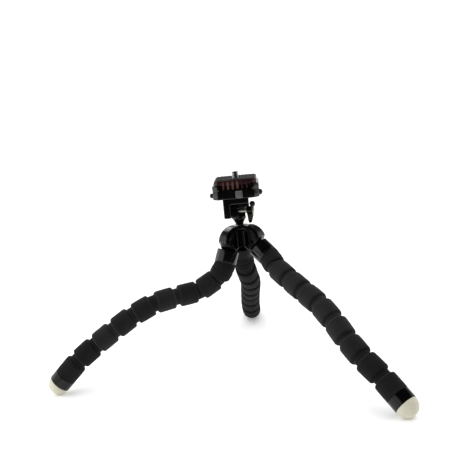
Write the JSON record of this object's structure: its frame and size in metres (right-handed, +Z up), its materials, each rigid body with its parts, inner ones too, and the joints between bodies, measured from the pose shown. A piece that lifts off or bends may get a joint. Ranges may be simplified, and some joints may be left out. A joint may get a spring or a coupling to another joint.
{
  "type": "flexible leg tripod",
  "caption": "Tabletop camera tripod with bendable foam-banded legs on ball shoulders, domed feet, and a panning, tilting head with lever clamp and quick-release plate.",
  "frame": {"origin": "on the floor under the middle of the standing part", "axes": "+Z up, +Y away from the viewer of the picture, +X to the right; millimetres in the solids, metres here"},
  "size_m": [0.3084, 0.3582, 0.1847],
  "materials": {
    "foam": "matte closed-cell foam",
    "ivory": "satin",
    "wire": "drawn",
    "bright_steel": "plated",
    "red_plastic": "satin",
    "black_rubber": "matte",
    "gloss_black": "gloss"
  },
  "bodies": {
    "hub": {"hub_body": "gloss_black", "hub_cap": "gloss_black", "pan_washer": "bright_steel", "left_wire": "wire", "right_wire": "wire", "rear_wire": "wire"},
    "pan": {"pan_post": "gloss_black", "pan_nut": "bright_steel"},
    "tilt": {"tilt_bracket": "gloss_black", "tilt_bolt": "bright_steel", "clamp_sleeve": "bright_steel", "platform": "gloss_black", "platform_screws": "bright_steel"},
    "lever": {"clamp_lever": "bright_steel", "lever_tip": "black_rubber"},
    "button": {"release_button": "gloss_black"},
    "lock": {"lock_slider": "black_rubber"},
    "plate": {"quick_plate": "red_plastic", "plate_pad": "black_rubber"},
    "screw": {"camera_screw": "bright_steel"},
    "left_collar": {"left_collar": "gloss_black"},
    "left_part_1": {"left_band_1": "foam"},
    "left_part_2": {"left_band_2": "foam"},
    "left_part_3": {"left_band_3": "foam"},
    "left_part_4": {"left_band_4": "foam"},
    "left_part_5": {"left_band_5": "foam"},
    "left_part_6": {"left_band_6": "foam"},
    "left_part_7": {"left_band_7": "foam"},
    "left_part_8": {"left_band_8": "foam"},
    "left_part_9": {"left_band_9": "foam", "left_ferrule": "gloss_black", "left_foot": "ivory"},
    "right_collar": {"right_collar": "gloss_black"},
    "right_part_1": {"right_band_1": "foam"},
    "right_part_2": {"right_band_2": "foam"},
    "right_part_3": {"right_band_3": "foam"},
    "right_part_4": {"right_band_4": "foam"},
    "right_part_5": {"right_band_5": "foam"},
    "right_part_6": {"right_band_6": "foam"},
    "right_part_7": {"right_band_7": "foam"},
    "right_part_8": {"right_band_8": "foam"},
    "right_part_9": {"right_band_9": "foam", "right_ferrule": "gloss_black", "right_foot": "ivory"},
    "rear_collar": {"rear_collar": "gloss_black"},
    "rear_part_1": {"rear_band_1": "foam"},
    "rear_part_2": {"rear_band_2": "foam"},
    "rear_part_3": {"rear_band_3": "foam"},
    "rear_part_4": {"rear_band_4": "foam"},
    "rear_part_5": {"rear_band_5": "foam"},
    "rear_part_6": {"rear_band_6": "foam"},
    "rear_part_7": {"rear_band_7": "foam"},
    "rear_part_8": {"rear_band_8": "foam"},
    "rear_part_9": {"rear_band_9": "foam", "rear_ferrule": "gloss_black", "rear_foot": "ivory"}
  },
  "joints": [
    {"name": "head_pan", "type": "hinge", "parent": "hub", "child": "pan", "pos_m": [0.03269, -0.01627, 0.1355], "axis": [0, 0, 1], "continuous": true},
    {"name": "head_tilt", "type": "hinge", "parent": "pan", "child": "tilt", "pos_m": [0.03269, -0.01627, 0.1482], "axis": [0.9986, -0.0523, 0], "range_deg": [-70, 70]},
    {"name": "clamp_lever_turn", "type": "hinge", "parent": "tilt", "child": "lever", "pos_m": [0.04268, -0.01679, 0.1482], "axis": [0.9986, -0.0523, 0], "range_deg": [-110, 110]},
    {"name": "release_button_push", "type": "slide", "parent": "tilt", "child": "button", "axis": [0.0523, 0.9986, 0], "range_m": [0, 0.0022], "stiffness_N_per_m": 500},
    {"name": "lock_slider_push", "type": "slide", "parent": "tilt", "child": "lock", "axis": [0.9986, -0.0523, 0], "range_m": [0, 0.0018]},
    {"name": "quick_plate_slide", "type": "slide", "parent": "tilt", "child": "plate", "axis": [0.0523, 0.9986, 0], "range_m": [-0.045, 0]},
    {"name": "camera_screw_turn", "type": "hinge", "parent": "plate", "child": "screw", "pos_m": [0.03269, -0.01627, 0.1791], "axis": [0, 0, 1], "continuous": true},
    {"name": "left_leg_swing", "type": "hinge", "parent": "hub", "child": "left_collar", "pos_m": [0.0223, -0.02227, 0.1199], "axis": [-0.5, 0.866, 0], "range_deg": [-18.7, 39.3], "deforming": ["left_wire"]},
    {"name": "left_sway_1", "type": "hinge", "parent": "left_collar", "child": "left_part_1", "pos_m": [0.01499, -0.02649, 0.09969], "axis": [-0.7991, -0.4614, 0.3854], "range_deg": [-1, 61]},
    {"name": "left_bend_2", "type": "hinge", "parent": "left_part_1", "child": "left_part_2", "pos_m": [0.0082, -0.02314, 0.08962], "axis": [0.2661, -0.8464, -0.4614], "range_deg": [-2, 56]},
    {"name": "left_bend_3", "type": "hinge", "parent": "left_part_2", "child": "left_part_3", "pos_m": [-0.01043, -0.02314, 0.07889], "axis": [0.2661, -0.8464, -0.4614], "range_deg": [-3, 55]},
    {"name": "left_sway_4", "type": "hinge", "parent": "left_part_3", "child": "left_part_4", "pos_m": [-0.03113, -0.0287, 0.07714], "axis": [0.0505, -0.4657, 0.8835], "range_deg": [-34, 26]},
    {"name": "left_bend_5", "type": "hinge", "parent": "left_part_4", "child": "left_part_5", "pos_m": [-0.05137, -0.03551, 0.07471], "axis": [0.3326, -0.8263, -0.4546], "range_deg": [-51, 7]},
    {"name": "left_bend_6", "type": "hinge", "parent": "left_part_5", "child": "left_part_6", "pos_m": [-0.07087, -0.03869, 0.06622], "axis": [0.3326, -0.8263, -0.4546], "range_deg": [-42, 16]},
    {"name": "left_bend_7", "type": "hinge", "parent": "left_part_6", "child": "left_part_7", "pos_m": [-0.08911, -0.03979, 0.05488], "axis": [0.3326, -0.8263, -0.4546], "range_deg": [-35, 23]},
    {"name": "left_sway_8", "type": "hinge", "parent": "left_part_7", "child": "left_part_8", "pos_m": [-0.10685, -0.04026, 0.04275], "axis": [-0.4562, -0.5629, 0.6892], "range_deg": [-33, 27]},
    {"name": "left_bend_9", "type": "hinge", "parent": "left_part_8", "child": "left_part_9", "pos_m": [-0.1242, -0.04166, 0.03013], "axis": [0.3754, -0.824, -0.4244], "range_deg": [-43, 15]},
    {"name": "right_leg_swing", "type": "hinge", "parent": "hub", "child": "right_collar", "pos_m": [0.04308, -0.02227, 0.1199], "axis": [-0.5, -0.866, 0], "range_deg": [-43, 15], "deforming": ["right_wire"]},
    {"name": "right_sway_1", "type": "hinge", "parent": "right_collar", "child": "right_part_1", "pos_m": [0.05696, -0.03028, 0.10497], "axis": [0.5903, -0.3408, 0.7317], "range_deg": [-3, 59]},
    {"name": "right_bend_2", "type": "hinge", "parent": "right_part_1", "child": "right_part_2", "pos_m": [0.06105, -0.03948, 0.09739], "axis": [0.739, 0.5929, -0.32], "range_deg": [-16, 42]},
    {"name": "right_bend_3", "type": "hinge", "parent": "right_part_2", "child": "right_part_3", "pos_m": [0.07126, -0.05657, 0.08929], "axis": [0.739, 0.5929, -0.32], "range_deg": [-31, 27]},
    {"name": "right_sway_4", "type": "hinge", "parent": "right_part_3", "child": "right_part_4", "pos_m": [0.08165, -0.07372, 0.08152], "axis": [0.4695, -0.1126, 0.8757], "range_deg": [-31, 29]},
    {"name": "right_bend_5", "type": "hinge", "parent": "right_part_4", "child": "right_part_5", "pos_m": [0.09232, -0.09064, 0.07362], "axis": [0.7304, 0.6067, -0.3136], "range_deg": [-41, 17]},
    {"name": "right_bend_6", "type": "hinge", "parent": "right_part_5", "child": "right_part_6", "pos_m": [0.10127, -0.10697, 0.06288], "axis": [0.7304, 0.6067, -0.3136], "range_deg": [-37, 21]},
    {"name": "right_bend_7", "type": "hinge", "parent": "right_part_6", "child": "right_part_7", "pos_m": [0.10918, -0.1228, 0.05067], "axis": [0.7304, 0.6067, -0.3136], "range_deg": [-27, 31]},
    {"name": "right_sway_8", "type": "hinge", "parent": "right_part_7", "child": "right_part_8", "pos_m": [0.11813, -0.13913, 0.03993], "axis": [0.5413, -0.2343, 0.8075], "range_deg": [-42, 18]},
    {"name": "right_bend_9", "type": "hinge", "parent": "right_part_8", "child": "right_part_9", "pos_m": [0.13015, -0.15239, 0.02802], "axis": [0.6279, 0.7514, -0.2029], "range_deg": [-38, 20]},
    {"name": "rear_leg_swing", "type": "hinge", "parent": "hub", "child": "rear_collar", "pos_m": [0.03269, -0.00427, 0.1199], "axis": [1, 0, 0], "range_deg": [-25.7, 32.3], "deforming": ["rear_wire"]},
    {"name": "rear_sway_1", "type": "hinge", "parent": "rear_collar", "child": "rear_part_1", "pos_m": [0.03269, 0.00659, 0.10088], "axis": [0, 0.8683, 0.496], "range_deg": [-24, 38]},
    {"name": "rear_bend_2", "type": "hinge", "parent": "rear_part_1", "child": "rear_part_2", "pos_m": [0.03423, 0.0128, 0.09002], "axis": [-0.9925, 0.0604, -0.1058], "range_deg": [-8, 50]},
    {"name": "rear_bend_3", "type": "hinge", "parent": "rear_part_2", "child": "rear_part_3", "pos_m": [0.03662, 0.03006, 0.07743], "axis": [-0.9925, 0.0604, -0.1058], "range_deg": [-26, 32]},
    {"name": "rear_sway_4", "type": "hinge", "parent": "rear_part_3", "child": "rear_part_4", "pos_m": [0.03889, 0.04856, 0.06672], "axis": [-0.0609, 0.5058, 0.8605], "range_deg": [-37, 23]},
    {"name": "rear_bend_5", "type": "hinge", "parent": "rear_part_4", "child": "rear_part_5", "pos_m": [0.03854, 0.06708, 0.05581], "axis": [-0.998, -0.0449, -0.0443], "range_deg": [-28, 30]},
    {"name": "rear_bend_6", "type": "hinge", "parent": "rear_part_5", "child": "rear_part_6", "pos_m": [0.0381, 0.08632, 0.04621], "axis": [-0.998, -0.0449, -0.0443], "range_deg": [-37, 21]},
    {"name": "rear_bend_7", "type": "hinge", "parent": "rear_part_6", "child": "rear_part_7", "pos_m": [0.03778, 0.10464, 0.03498], "axis": [-0.998, -0.0449, -0.0443], "range_deg": [-34, 24]},
    {"name": "rear_sway_8", "type": "hinge", "parent": "rear_part_7", "child": "rear_part_8", "pos_m": [0.0375, 0.12257, 0.02311], "axis": [-0.0617, 0.5502, 0.8327], "range_deg": [-27, 33]},
    {"name": "rear_bend_9", "type": "hinge", "parent": "rear_part_8", "child": "rear_part_9", "pos_m": [0.03834, 0.14052, 0.01131], "axis": [-0.9973, -0.0012, -0.0731], "range_deg": [-2, 56]}
  ]
}
